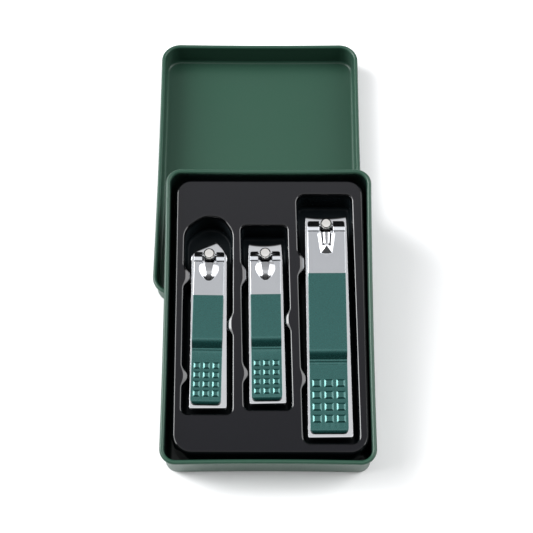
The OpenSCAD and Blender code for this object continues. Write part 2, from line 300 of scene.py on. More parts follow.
M_TIN = tin_paint()
M_LEVER = lever_paint()
M_TRAY = tray_satin()
M_GLOSS = tray_gloss()
M_WELL_SHADE = tray_well_shade()
M_SHADE = tin_shade()
M_UNDER_SHADE = lever_under_shade()
M_LEAF = chrome("leaf_chrome", (0.64, 0.65, 0.67), 0.06, 0.10)
M_POST = chrome("post_chrome_polish", (0.84, 0.82, 0.79), 0.05, 0.08)
M_FRONT = chrome("lever_front_satin", (0.535, 0.55, 0.575), 0.10, 0.15, (1, 0.25, 1))
# the cam's chrome is darker than the lever's front: painted shade on its reflection
M_CAM_SHADE = chrome("cam_chrome_painted_shade", (0.36, 0.365, 0.375), 0.19, 0.24)
# near-black chrome: painted shade in the large cam's grooves and a painted dark reflection on the ears' front slopes
M_GROOVE_SHADE = chrome("groove_and_ear_painted_shade", (0.075, 0.075, 0.08), 0.25, 0.35)
M_RIVET = chrome("rivet_steel_plain", (0.55, 0.55, 0.56), 0.22, 0.32)


# ------------------------------------------------------------------ mesh tools


def build(name, verts, faces, place, mats, body, nodes, face_mat=None, sharp=34.0, solidify=None, quads=True):
    """One piece from vertices in mm in its own frame, carried into the set's frame."""
    me = bpy.data.meshes.new(name)
    me.from_pydata([tuple((place @ Vector(v)) * MM) for v in verts], [], [tuple(f) for f in faces])
    for m in mats:
        me.materials.append(m)
    if face_mat is not None:
        me.polygons.foreach_set("material_index", np.array(face_mat, np.int32))
    return piece(name, me, body, nodes, sharp, solidify, quads)


def piece(name, me, body, nodes, sharp=34.0, solidify=None, quads=False):
    bm = bmesh.new()
    bm.from_mesh(me)
    bmesh.ops.remove_doubles(bm, verts=bm.verts, dist=1e-7)
    bmesh.ops.recalc_face_normals(bm, faces=bm.faces)
    for f in bm.faces:
        # in a mesh of quads, the other faces are level fills that keep their own normal
        f.smooth = len(f.verts) == 4 or not quads
    bm.to_mesh(me)
    bm.free()
    o = bpy.data.objects.new(name, me)
    bpy.context.scene.collection.objects.link(o)
    me.set_sharp_from_angle(angle=math.radians(sharp))
    if solidify:
        s = o.modifiers.new("sheet", "SOLIDIFY")
        s.thickness = solidify * MM
        s.offset = -1.0
        s.use_even_offset = False
    wn = o.modifiers.new("normals", "WEIGHTED_NORMAL")
    wn.keep_sharp = True
    wn.weight = 50
    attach(o, body)
    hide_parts(*nodes)
    return o


def outline(pts, radii, seg=10, step=2.5):
    """Closed counter-clockwise outline of a polygon with rounded corners, and its outward normals."""
    n = len(pts)
    P, N = [], []
    pts = [np.array(p, float) for p in pts]
    starts, ends, arcs = [], [], []
    for i in range(n):
        a, p, b = pts[i - 1], pts[i], pts[(i + 1) % n]
        d1 = (p - a) / np.linalg.norm(p - a)
        d2 = (b - p) / np.linalg.norm(b - p)
        phi = math.atan2(d1[0] * d2[1] - d1[1] * d2[0], d1 @ d2)
        r = radii[i]
        tl = r * math.tan(abs(phi) / 2)
        rs = r if phi >= 0 else -r
        s = p - d1 * tl
        left = np.array([-d1[1], d1[0]])
        c = s + left * rs
        arc = []
        k = max(1, int(round(seg * abs(phi) / (math.pi / 2)))) if r > 0 else 0
        for j in range(k + 1):
            a_ = phi * j / k if k else 0.0
            t = np.array([d1[0] * math.cos(a_) - d1[1] * math.sin(a_), d1[0] * math.sin(a_) + d1[1] * math.cos(a_)])
            arc.append((c - np.array([-t[1], t[0]]) * rs, np.array([t[1], -t[0]])))
        arcs.append(arc)
        starts.append(s)
        ends.append(p + d2 * tl)
    for i in range(n):
        for q, nn in arcs[i]:
            P.append(q)
            N.append(nn)
        a, b = arcs[i][-1][0], arcs[(i + 1) % n][0][0]
        gap = np.linalg.norm(b - a)
        m = int(gap / step)
        for j in range(1, m):
            P.append(a + (b - a) * j / m)
            N.append(arcs[i][-1][1])
    return np.array(P), np.array(N)


def rings(P, N, stack):
    """Vertices and quads through a stack of (inset, z) rings; an inset may differ from vertex to vertex."""
    V, F = [], []
    n = len(P)
    for k, (d, z) in enumerate(stack):
        d = np.broadcast_to(np.asarray(d, float), (n,))
        z = np.broadcast_to(np.asarray(z, float), (n,))
        for i in range(n):
            q = P[i] - N[i] * d[i]
            V.append((q[0], q[1], z[i]))
        if k:
            o = (k - 1) * n
            for i in range(n):
                j = (i + 1) % n
                F.append((o + i, o + j, o + n + j, o + n + i))
    return V, F


def arc_pts(cx, cz, r, a0, a1, seg):
    """Points (d, z) round a centre from angle a0 to a1 in degrees, both ends included."""
    out = []
    for k in range(seg + 1):
        a = math.radians(a0 + (a1 - a0) * k / seg)
        out.append((cx + r * math.cos(a), cz + r * math.sin(a)))
    return out


def lathe(profile, seg=48):
    """Closed solid turned about z from (r, z) pairs that start and end on the axis."""
    V, F = [], []
    rows = []
    for r, z in profile:
        if r < 1e-9:
            rows.append([len(V)])
            V.append((0, 0, z))
        else:
            rows.append(list(range(len(V), len(V) + seg)))
            V += [(r * math.cos(2 * math.pi * k / seg), r * math.sin(2 * math.pi * k / seg), z) for k in range(seg)]
    for a, b in zip(rows, rows[1:]):
        for k in range(seg):
            j = (k + 1) % seg
            if len(a) == 1:
                F.append((a[0], b[k], b[j]))
            elif len(b) == 1:
                F.append((a[k], b[0], a[j]))
            else:
                F.append((a[k], b[k], b[j], a[j]))
    return V, F


def mesh_of(V, F, place=Matrix.Identity(4)):
    me = bpy.data.meshes.new("tmp")
    me.from_pydata([tuple(place @ Vector(v)) for v in V], [], [tuple(f) for f in F])
    bm = bmesh.new()
    bm.from_mesh(me)
    bmesh.ops.recalc_face_normals(bm, faces=bm.faces)
    bm.to_mesh(me)
    bm.free()
    return me


def boolean(a, tools, op="DIFFERENCE"):
    """Mesh a cut by, or joined with, each tool in turn; exact solver, all in mm."""
    cur = a
    for t in tools:
        oa = bpy.data.objects.new("ba", cur)
        ob = bpy.data.objects.new("bb", t)
        for o in (oa, ob):
            bpy.context.scene.collection.objects.link(o)
        m = oa.modifiers.new("b", "BOOLEAN")
        m.operation, m.solver, m.object = op, "EXACT", ob
        bpy.context.view_layer.update()
        dg = bpy.context.evaluated_depsgraph_get()
        cur = bpy.data.meshes.new_from_object(oa.evaluated_get(dg))
        bpy.data.objects.remove(oa)
        bpy.data.objects.remove(ob)
    return cur


def slab(X, Y, ZT, ZB, mask=None, mat=None):
    """Closed plate over a grid of nodes: a top, a bottom, and walls along every edge of the kept cells."""
    ni, nj = X.shape
    if mask is None:
        mask = np.ones((ni - 1, nj - 1), bool)
    used = np.zeros((ni, nj), bool)
    for i in range(ni - 1):
        for j in range(nj - 1):
            if mask[i, j]:
                used[i:i + 2, j:j + 2] = True
    top = -np.ones((ni, nj), int)
    bot = -np.ones((ni, nj), int)
    V = []
    for i in range(ni):
        for j in range(nj):
            if used[i, j]:
                top[i, j] = len(V)
                V.append((X[i, j], Y[i, j], ZT[i, j]))
                bot[i, j] = len(V)
                V.append((X[i, j], Y[i, j], ZB[i, j]))
    F, FM = [], []

    def kept(i, j):
        return 0 <= i < ni - 1 and 0 <= j < nj - 1 and mask[i, j]

    for i in range(ni - 1):
        for j in range(nj - 1):
            if not mask[i, j]:
                continue
            k = int(mat[i, j]) if mat is not None else 0
            a, b, c, d = (i, j), (i + 1, j), (i + 1, j + 1), (i, j + 1)
            F.append((top[a], top[b], top[c], top[d]))
            F.append((bot[d], bot[c], bot[b], bot[a]))
            FM += [k, k]
            for (p, q), (ii, jj) in (((a, b), (i, j - 1)), ((b, c), (i + 1, j)), ((c, d), (i, j + 1)), ((d, a), (i - 1, j))):
                if not kept(ii, jj):
                    F.append((top[q], top[p], bot[p], bot[q]))
                    FM.append(k)
    return V, F, FM


def smooth(t):
    t = np.clip(t, 0.0, 1.0)
    return t * t * (3 - 2 * t)


def round_drop(d, r):
    """How far a rounded edge of radius r lies below the face, at distance d from the edge."""
    d = np.clip(d, 0.0, r)
    return r - np.sqrt(np.maximum(r * r - (r - d) ** 2, 0.0))


def polyline(table):
    xs = np.array([p[0] for p in table], float)
    zs = np.array([p[1] for p in table], float)
    return lambda v: np.interp(v, xs, zs)


# ------------------------------------------------------------------ the tin


def tin_half(name, w, l, h, r, bow, place, body, node, fr=1.0, dark=None):
    hw, hl = w / 2, l / 2
    P, N = outline([(-hw, -hl), (hw, -hl), (hw, hl), (-hw, hl)], [r] * 4, seg=14, step=3.0)
    # the long and short sides pull in a little between the corners
    bx = bow * np.clip(1 - (P[:, 1] / (hl - r)) ** 2, 0, 1)
    by = bow * np.clip(1 - (P[:, 0] / (hw - r)) ** 2, 0, 1)
    P = P - N * (np.abs(N[:, 0]) * bx + np.abs(N[:, 1]) * by)[:, None]
    win = 2 * BEAD
    wout = win - SHEET
    st = [(win + fr + 0.5, SHEET), (win + fr + 0.05, SHEET)]
    st += [(win + fr - fr * math.sin(math.radians(a)), SHEET + fr - fr * math.cos(math.radians(a))) for a in range(0, 91, 11)][0:]
    st += [(win, SHEET + fr + 0.3), (win, h - 2.6), (win, h - BEAD - 0.6)]
    # the rolled rim
    st += [(BEAD - BEAD * math.cos(math.radians(a)), h - BEAD + BEAD * math.sin(math.radians(a))) for a in range(180, -121, -12)]
    st += [(wout, h - BEAD - 0.72), (wout, h - BEAD - 1.3)]
    fo = fr + SHEET
    st += [(wout, fo + 0.3)]
    st += [(wout + fo - fo * math.cos(math.radians(a)), fo - fo * math.sin(math.radians(a))) for a in range(0, 91, 10)]
    st += [(wout + fo + 0.4, 0.0)]
    # drop doubled entries
    clean = [st[0]]
    for q in st[1:]:
        if abs(q[0] - clean[-1][0]) + abs(q[1] - clean[-1][1]) > 1e-4:
            clean.append(q)
    V, F = rings(P, N, clean)
    n = len(P)
    F.append(tuple(range(n)))
    k = (len(clean) - 1) * n
    F.append(tuple(range(k, k + n))[::-1])
    # below this height, faces on the inside, the floor among them, take painted shade: a near-black green for the
    # shadow in the gap beside the tray
    FM = []
    for a, b in zip(clean, clean[1:]):
        low = dark is not None and max(a[1], b[1]) <= dark + 1e-6 and min(a[0], b[0]) > win - 0.05 and min(a[1], b[1]) > SHEET - 0.01
        FM += [int(low)] * n
    FM += [int(dark is not None), 0]
    return build(name, V, F, place, [M_TIN, M_SHADE], body, [node], face_mat=FM, sharp=50)


tin_half("lid_tin", LID_W, LID_L, LID_H, LID_R, 0.27, LID, "lid", "lid_shell", fr=1.1)
# the base's inside takes painted shade below its rim
tin_half("base_tin", BASE_W, BASE_L, BASE_H, BASE_R, 0.30, TIN @ Matrix.Translation((0, BASE_L / 2, 0)), "base", "base_shell", fr=1.7, dark=BASE_H - BEAD - 0.55)


# ------------------------------------------------------------------ the formed tray

TRAY_TOP, POCKET_FLOOR = 17.0, 5.0


def nub(P, N, side, y0, y1, edge=3.9):
    """How much each vertex of a pocket's outline takes part in a nub on one long side, 0 to 1."""
    on = (N[:, 0] * side) > 0.7
    t = P[:, 1]
    w = smooth((t - y0) / edge) * smooth((y1 - t) / edge)
    return np.where(on, w, 0.0)


def fill(loops, ids):
    """Level triangles inside the first loop and outside the others; ids number each loop's vertices."""
    pts, edges, flat = [], [], []
    for lp, ii in zip(loops, ids):
        b, n = len(pts), len(lp)
        pts += [Vector(q) for q in lp]
        flat += list(ii)
        edges += [(b + i, b + (i + 1) % n) for i in range(n)]
    res = delaunay_2d_cdt(pts, edges, [], 0, 1e-6)
    xy = np.array([tuple(q) for q in res[0]])
    walls = {frozenset(e) for e, orig in zip(res[1], res[4]) if orig}
    tris = [tuple(f) for f in res[2]]
    # triangles that share an edge which isn't on a loop lie on the same side of every loop
    group = list(range(len(tris)))

    def root(i):
        while group[i] != i:
            i = group[i]
        return i

    seen = {}
    for k, f in enumerate(tris):
        for a, b in ((f[0], f[1]), (f[1], f[2]), (f[2], f[0])):
            e = frozenset((a, b))
            if e in walls:
                continue
            if e in seen:
                group[root(k)] = root(seen[e])
            seen[e] = k

    def area(f):
        a, b, c = (xy[i] for i in f)
        return abs((b[0] - a[0]) * (c[1] - a[1]) - (b[1] - a[1]) * (c[0] - a[0])) / 2

    def inside(p, poly):
        x0, y0 = poly[:, 0], poly[:, 1]
        x1, y1 = np.roll(x0, -1), np.roll(y0, -1)
        hit = (y0 > p[1]) != (y1 > p[1])
        with np.errstate(divide="ignore", invalid="ignore"):
            xx = (x1 - x0) * (p[1] - y0) / (y1 - y0) + x0
        return bool(np.count_nonzero(hit & (p[0] < xx)) % 2)

    best = {}
    for k, f in enumerate(tris):
        r = root(k)
        if r not in best or area(f) > area(tris[best[r]]):
            best[r] = k
    keep = {}
    for r, k in best.items():
        c = xy[list(tris[k])].mean(axis=0)
        keep[r] = area(tris[k]) > 0.01 and inside(c, loops[0]) and not any(inside(c, q) for q in loops[1:])
    return [tuple(flat[res[3][i][0]] for i in f) for k, f in enumerate(tris) if keep[root(k)]]


POCKETS = {
    # outline, corner radii, nubs as (side, from y, to y, reach)
    "slant": dict(
        pts=[(-30.15, 17.95), (-12.15, 17.95), (-12.72, 85.6), (-16.7, 90.6), (-23.2, 91.6), (-30.3, 86.1)],
        radii=[2.4, 2.4, 7.4, 6.2, 8.0, 6.6],
        nubs=[(-1, 64.0, 73.2, 2.25), (-1, 27.6, 36.0, 1.9), (1, 46.0, 55.3, 1.76)]),
    "small": dict(
        pts=[(-8.55, 19.45), (8.5, 19.45), (6.85, 87.75), (-10.2, 87.75)],
        radii=[2.3, 2.3, 2.0, 2.2],
        nubs=[(-1, 64.0, 74.2, 1.75), (-1, 28.7, 37.0, 1.65), (1, 47.8, 56.8, 1.85)]),
    "large": dict(
        pts=[(11.85, 7.75), (31.6, 7.75), (30.15, 99.65), (9.8, 99.65)],
        radii=[2.8, 2.8, 2.6, 3.2],
        nubs=[(-1, 68.2, 78.6, 2.3), (-1, 26.6, 35.2, 1.5)]),
}


RIBS = {"slant": (34.0, 1.2), "small": (34.0, 1.2), "large": (50.0, 1.4)}


def tray():
    V, F, FM = [], [], []
    rim = 1.1

    def add(vs, fs, mat):
        o = len(V)
        V.extend(vs)
        F.extend([tuple(o + i for i in f) for f in fs])
        FM.extend(mat if isinstance(mat, list) else [mat] * len(fs))
        return o

    # outside: the top's edge, its rounding and the skirt
    P, N = outline([(-33.0, 4.3), (34.8, 4.3), (34.15, 105.35), (-33.5, 105.35)], [6.9, 6.7, 5.8, 5.6], seg=16, step=3.0)
    st = [(rim + 0.35, TRAY_TOP), (rim, TRAY_TOP)]
    for a in range(10, 91, 10):
        st.append((rim - rim * math.sin(math.radians(a)), TRAY_TOP - rim + rim * math.cos(math.radians(a))))
    st += [(-0.08, TRAY_TOP - rim - 1.0), (-0.19, 1.9), (-0.19, 1.5), (-0.18, 1.28), (-0.15, 1.2)]
    vs, fs = rings(P, N, st)
    n = len(P)
    mats = []
    for k in range(len(st) - 1):
        mats += [0 if k < 2 else 1] * n
    add(vs, fs, mats)
    loops = [np.array([v[:2] for v in vs[:n]])]
    ids = [range(n)]
    for name, k in POCKETS.items():
        P, N = outline(k["pts"], k["radii"], seg=10, step=0.45)
        w = np.zeros(len(P))
        reach = np.zeros(len(P))
        for side, y0, y1, d in k["nubs"]:
            q = nub(P, N, side, y0, y1)
            w = np.maximum(w, q)
            reach = np.maximum(reach, q * d)
        ff = 1.0
        edge = reach * 0.48            # the top's edge follows the nub about half way
        run = reach - edge + 0.66      # and a sloping shoulder takes the rest
        st = [(edge - 0.42 - 0.26, TRAY_TOP), (edge - 0.42, TRAY_TOP)]
        for a in range(10, 91, 10):
            s_, c_ = math.sin(math.radians(a)), math.cos(math.radians(a))
            t = a / 90.0
            slope = np.interp(t, [0, 0.1, 0.3, 0.75, 0.9, 1.0], [0, 0.10, 0.32, 0.86, 0.97, 1.0])
            fall = np.interp(t, [0, 0.1, 0.3, 0.75, 0.9, 1.0], [0, 0.03, 0.20, 0.62, 0.78, 1.1])
            d = (1 - w) * run * s_ + w * run * slope
            z = (1 - w) * 0.70 * (1 - c_) + w * fall * (0.45 + 0.33 * run)
            st.append((edge - 0.42 + d, TRAY_TOP - z))
        base = reach + 0.24
        st.append((base + 0.06, TRAY_TOP - 2.6))
        st.append((base + 0.30, POCKET_FLOOR + ff))
        for a in range(15, 91, 15):
            s_, c_ = math.sin(math.radians(a)), math.cos(math.radians(a))
            st.append((base + 0.30 + ff * (1 - c_), POCKET_FLOOR + ff - ff * s_))
        st.append((base + 0.30 + ff + 0.2, POCKET_FLOOR))
        vs, fs = rings(P, N, st)
        n = len(P)
        mats = []
        # faces below the rounding take the well material, painted shade for the pocket's dark depths
        for j in range(len(st) - 1):
            mats += [0 if j < 2 else 1 if j < 11 else 2] * n
        o = add(vs, fs, mats)
        loops.append(np.array([q[:2] for q in vs[:n]]))
        ids.append(range(o, o + n))
        last = o + (len(st) - 1) * n
        well = np.array([V[last + i][:2] for i in range(n)])
        # the rib under the clipper's rear, pressed up from the pocket's floor
        c = CLIPS[name]
        length, leaf = RIBS[name]
        top = LEAF_TOP - 2 * leaf - LEAF_GAP - 1.2
        h_ = math.radians(c["head"])
        corner = [(-2.6, 2.4), (2.6, 2.4), (2.6, length + 1.6), (-2.6, length + 1.6)]
        corner = [(c["at"][0] + x * math.cos(h_) - y * math.sin(h_), c["at"][1] + x * math.sin(h_) + y * math.cos(h_)) for x, y in corner]
        P, N = outline(corner, [1.6] * 4, seg=8, step=2.0)
        st = [(-0.95, POCKET_FLOOR), (-0.6, POCKET_FLOOR)]
        for a in range(15, 91, 15):
            s_, c_ = math.sin(math.radians(a)), math.cos(math.radians(a))
            st.append((-0.6 + 0.6 * s_, POCKET_FLOOR + 0.6 * (1 - c_)))
        for a in range(0, 91, 15):
            s_, c_ = math.sin(math.radians(a)), math.cos(math.radians(a))
            st.append((0.1 + 0.8 * (1 - c_), top - 0.8 + 0.8 * s_))
        st.append((1.2, top))
        vs, fs = rings(P, N, st)
        n2 = len(P)
        # the rib and the well's floor take the same painted shade
        o2 = add(vs, fs, 2)
        m2 = o2 + (len(st) - 1) * n2
        F.append(tuple(range(m2, m2 + n2)))
        FM.append(2)
        got = fill([well, np.array([q[:2] for q in vs[:n2]])], [range(last, last + n), range(o2, o2 + n2)])
        F.extend(got)
        FM.extend([2] * len(got))
    # the flat top, with holes for the pockets
    got = fill(loops, ids)
    F.extend(got)
    FM.extend([0] * len(got))
    return build("tray_sheet", V, F, TIN, [M_TRAY, M_GLOSS, M_WELL_SHADE], "tray", ["insert_tray"],
                 face_mat=FM, sharp=60, solidify=0.45)


tray()


# ------------------------------------------------------------------ clippers


def lines(*parts):
    """Sorted grid lines without near repeats."""
    v = sorted(x for p in parts for x in np.atleast_1d(p))
    out = [v[0]]
    for x in v[1:]:
        if x - out[-1] > 0.02:
            out.append(x)
    return np.array(out)


def jaw_mesh(kind, c):
    """Upper jaw in the clipper's frame: a springy leaf whose nose turns down to the cutting edge."""
    l, w, t, py, rise = c["l"], c["w"], c["t"], c["py"], c["rise"]
    edge = 14.35
    zt = polyline([(0, LEAF_TOP), (4.5, LEAF_TOP), (HINGE_Y + 3, LEAF_TOP + 0.045), (py - 2, LEAF_TOP + rise),
                   (l - 3.2, LEAF_TOP + rise + 0.04), (l - 1.9, LEAF_TOP + rise + 0.02), (l - 1.3, LEAF_TOP + rise - 0.03),
                   (l - 0.7, LEAF_TOP + rise - 0.16), (l - 0.45, LEAF_TOP + rise - 0.32), (l - 0.25, LEAF_TOP + rise - 0.58), (l, edge + 0.14)])
    zb = polyline([(0, LEAF_TOP - t), (4.5, LEAF_TOP - t), (HINGE_Y + 3, LEAF_TOP - t + 0.03), (py - 2, LEAF_TOP - t + rise - 0.05),
                   (l - 2.6, LEAF_TOP - t + rise + 0.05), (l - 1.2, edge + 0.25), (l - 0.35, edge), (l, edge)])
    ys = lines([0, 0.03, 0.08, 0.16, 0.26, 0.4, 0.6, 0.85, 1.2, 2, 3, 4.5], np.arange(6, py - 4, 2.5), np.arange(py - 4, l - 8, 1.0),
               np.arange(l - 8, l - 3.2, 0.6), [l - 3.2, l - 2.7, l - 2.3, l - 1.9, l - 1.6, l - 1.3, l - 1.0, l - 0.7, l - 0.45, l - 0.25, l - 0.1, l])
    r = 0.025
    d = np.array([0, 0.008, 0.025, 0.30, 0.55])
    hw_rear, hw_mid = w / 2, w / 2 - 0.2
    hw_front = {"slant": w / 2 - 0.1, "small": w / 2 - 0.62, "large": w / 2 - 0.5}[kind]
    hw_of = polyline([(0, hw_rear), (l * 0.55, hw_mid), (l - 7, hw_mid - 0.1), (l, hw_front)])
    if kind == "slant":
        # across the width: how far the edge lies behind the tip
        back = polyline([(-6.35, 5.2), (-6.1, 4.35), (-5.4, 3.65), (-4.4, 3.0), (1.9, 0.28), (2.5, 0.0), (3.1, 0.25), (5.0, 2.4), (5.9, 4.0), (6.35, 5.6)])
        reach = 8.5
    else:
        sag = 0.62 if kind == "small" else 0.62
        back = lambda x: sag * (1 - (np.abs(x) / hw_front) ** 2) * 1.0
        reach = 3.5
    cols = np.concatenate([-1 + 0 * d, np.zeros(0)])
    inner = np.linspace(-1, 1, 29)
    rows = []
    for y in ys:
        hw = float(hw_of(y))
        rc = 0.85
        if y < rc:
            hw -= rc - math.sqrt(rc * rc - (rc - y) ** 2)
        core = hw - 0.55
        x = np.concatenate([-hw + d, inner[1:-1] * core, (hw - d)[::-1]])
        rows.append(x)
    X = np.array(rows).T
    Yn = np.broadcast_to(ys, X.shape)
    blend = smooth((Yn - (l - reach - 1.0)) / reach)
    if kind == "slant":
        blend = np.clip((Yn - (l - reach)) / (reach - 2.2), 0, 1)
        blend = smooth(blend) * 0.35 + blend * 0.65
    Y = Yn - back(X) * blend
    dist = np.minimum(np.abs(X - X[0:1, :]), np.abs(X[-1:, :] - X))
    ZT = zt(Yn) - np.maximum(round_drop(dist, r), round_drop(np.broadcast_to(ys, X.shape), 0.3))
    ZB = zb(Yn) + np.maximum(round_drop(dist, 0.12), round_drop(np.broadcast_to(ys, X.shape), 0.12))
    V, F, _ = slab(X, Y, ZT, ZB)
    return mesh_of(V, F)


def drum(r, z0, z1, seg=48):
    return lathe([(0, z0), (r, z0), (r, z1), (0, z1)], seg)


def finish_mesh(name, me, place, mats, body, nodes, sharp=34.0, pick=None):
    """Carries a mesh in mm into the set's frame and makes a piece of it."""
    me = me.copy()
    me.name = name
    me.transform(Matrix.Scale(MM, 4) @ place)
    me.materials.clear()
    for m in mats:
        me.materials.append(m)
    if pick is not None:
        idx = np.array([pick(p) for p in me.polygons], np.int32)
        me.polygons.foreach_set("material_index", idx)
    else:
        me.polygons.foreach_set("material_index", np.zeros(len(me.polygons), np.int32))
    return piece(name, me, body, nodes, sharp)


def jaws(kind, c):
    place = clip_place(c)
    t = c["t"]
    top = jaw_mesh(kind, c)
    zm = LEAF_TOP - t - LEAF_GAP / 2
    flip = Matrix.Translation((0, 0, zm)) @ Matrix.Scale(-1, 4, (0, 0, 1)) @ Matrix.Translation((0, 0, -zm))
    low = top.copy()
    low.transform(flip)
    low.flip_normals()

    def at(y, V):
        return mesh_of(V[0], V[1], Matrix.Translation((0, y, 0)))

    def sink(r, z0, z1, lip):
        """Cutter with a small chamfer where it leaves the face z1."""
        return lathe([(0, z0), (r, z0), (r, z1 - lip), (r + lip, z1), (r + lip, z1 + 2), (0, z1 + 2)], 48)

    zp = LEAF_TOP + c["rise"]
    up = boolean(top, [at(c["py"], sink(POST_R + 0.42, 5, zp - 0.02, 0.14)), at(HINGE_Y, drum(1.32, 5, 30)),
                       at(HINGE_Y, sink(2.25, LEAF_TOP - 0.68, LEAF_TOP, 0.08))])
    zl = 2 * zm - LEAF_TOP
    dn = boolean(low, [at(c["py"], drum(POST_R + 0.05 + 0.7 * c["shift"], 5, 30)), at(HINGE_Y, drum(1.1, 5, 30)),
                       at(HINGE_Y, drum(2.12, zl - 3, zl + 0.55))])
    finish_mesh(kind + "_leaf_upper", up, place, [M_LEAF], kind + "_top", [kind + "_upper_jaw"], 28)
    finish_mesh(kind + "_leaf_lower", dn, place, [M_LEAF], kind + "_clipper", [kind + "_lower_jaw"], 28)
    # rivet
    zb = LEAF_TOP - 2 * t - LEAF_GAP
    H = 2 * t + LEAF_GAP
    prof = [(0, 0.04), (1.2, 0.04), (1.75, 0.09), (2.02, 0.2), (2.08, 0.34), (2.08, 0.5), (1.1, 0.55), (1.1, H - 0.52), (2.08, H - 0.5),
            (2.08, H - 0.3), (1.98, H - 0.18), (1.6, H - 0.09), (0.9, H - 0.06), (0, H - 0.05)]
    V, F = lathe(prof, 40)
    finish_mesh(kind + "_rivet_pin", mesh_of(V, F), place @ Matrix.Translation((0, HINGE_Y, zb)), [M_RIVET], kind + "_clipper",
                [kind + "_rivet"], 30)


def post(kind, c):
    zl = LEAF_TOP - 2 * c["t"] - LEAF_GAP - c["rise"]
    top = BAR_Z + 1.95
    r = POST_R
    prof = [(0, zl - 0.85), (2.45, zl - 0.85), (2.78, zl - 0.78), (2.9, zl - 0.6), (2.9, zl - 0.32), (2.8, zl - 0.19), (2.6, zl - 0.15),
            (r + 0.12, zl - 0.15), (r, zl - 0.05), (r, top - 1.05), (r + 0.20, top - 0.80), (r + 0.20, top - 0.64), (r + 0.16, top - 0.55),
            (r - 0.28, top - 0.06), (r - 0.33, top - 0.015), (r - 0.42, top), (0, top)]
    V, F = lathe(prof, 64)
    me = mesh_of(V, F)
    # notch for the cross-bar, open to the rear
    rb = 0.8
    pts = [(-6.0, -rb), (0.0, -rb)] + [(rb * math.sin(math.radians(a)), -rb * math.cos(math.radians(a))) for a in range(15, 166, 15)] + [(0.0, rb), (-6.0, rb)]
    k = len(pts)
    V = [(x, -BAR_BACK + y, BAR_Z + z) for x in (-4.0, 4.0) for y, z in pts]
    F = [tuple(range(k))[::-1], tuple(range(k, 2 * k))] + [(i, (i + 1) % k, k + (i + 1) % k, k + i) for i in range(k)]
    me = boolean(me, [mesh_of(V, F)])
    place = clip_place(c) @ Matrix.Translation((c["shift"] * 0.6, c["py"], 0))
    finish_mesh(kind + "_post_pin", me, place, [M_POST], kind + "_pin", [kind + "_post"], 32)


CAM_L = {"slant": 6.55, "small": 6.55, "large": 7.7}


def ramp(v, k):
    """v above zero, nothing below, with a rounded corner."""
    return 0.5 * (v + np.sqrt(v * v + k * k))


def least(a, b, k=0.12):
    """The lower of two surfaces, with a rounded crease."""
    return 0.5 * (a + b - np.sqrt((a - b) ** 2 + k * k))


CAM_W = [(0, 2.95), (0.06, 3.10), (0.12, 3.24), (0.22, 3.40), (0.34, 3.42), (0.46, 3.26), (0.58, 2.92), (0.70, 2.42), (0.80, 1.90),
         (0.88, 1.38), (0.94, 0.92), (0.98, 0.48), (1.0, 0.0)]


def cam_height(kind, x, u, c):
    """Height of the pressed-up cam above the lever's sheet."""
    u0 = c["win"] + 0.1
    L = CAM_L[kind]
    s = np.clip((u - u0) / L, 0, 1)
    x = np.abs(x)
    on = (u >= u0 - 1e-6) & (s < 1)
    if kind != "large":
        t = np.linspace(0, 1, 41)
        ax, au = polyline(CAM_W)(t), u0 + L * t
        inside = on & (x < polyline(CAM_W)(s))
        # distance to the drop-shaped outline
        d = np.full(x.shape, 9.0)
        for k in range(40):
            ex, eu = ax[k + 1] - ax[k], au[k + 1] - au[k]
            q = np.clip(((x - ax[k]) * ex + (u - au[k]) * eu) / (ex * ex + eu * eu), 0, 1)
            d = np.minimum(d, np.hypot(x - ax[k] - q * ex, u - au[k] - q * eu))
        d = np.where(s < 0.34, np.minimum(polyline(CAM_W)(s) - x, 3.42), d)
        side = d * np.interp(s, [0, 0.5, 0.68, 0.8, 1.0], [0.62, 0.62, 0.72, 1.25, 1.5])
        top = np.interp(s, [0, 0.15, 0.3, 0.5, 0.62, 1.0], [1.08, 1.20, 1.28, 1.22, 1.10, 1.0])
        end = np.interp(u0 + L - u, [0, 1.1, 1.7, 2.3, 3.0, 4.0], [0.02, 0.58, 0.85, 1.06, 1.22, 1.38])
        z = least(least(side, top, 0.08), end, 0.08)
        return np.where(inside, np.maximum(z, 0), 0.0)
    a = 3.2 + (1.95 - 3.2) * s
    q = x / a * 3.2
    low = np.interp(q, [0, 0.50, 1.30, 1.50, 1.85, 1.95, 3.2], [1.42, 1.42, 1.18, 0.15, 0.36, 0.38, 0.0]) * (1 - 0.12 * s)
    # towards the rear the grooves run out into a plain gable with a cut end
    w = smooth((u - (u0 + L - 3.7)) / 1.0)
    low = low * (1 - w) + np.minimum(0.53 * (a - x), 1.25) * w
    end = (u0 + L - 0.30 * (x / 1.95) ** 2 - u) * 0.46
    z = np.minimum(low, end)
    return np.where(on & (q < 3.2), np.maximum(z, 0), 0.0)


def step_down(step, z0, low, r=3.6, top=44.0):
    """Profile (u, z) of the lever's step: a round shoulder, a short straight, then a sharp inner corner."""
    out = []
    t = math.radians(top)
    for k in range(0, 9):
        a = t * k / 8
        out.append((step - 0.57 + r * math.sin(a), z0 - r * (1 - math.cos(a))))
    left = low - r * (1 - math.cos(t))
    out.append((out[-1][0] + left / math.tan(t), z0 - low))
    return out


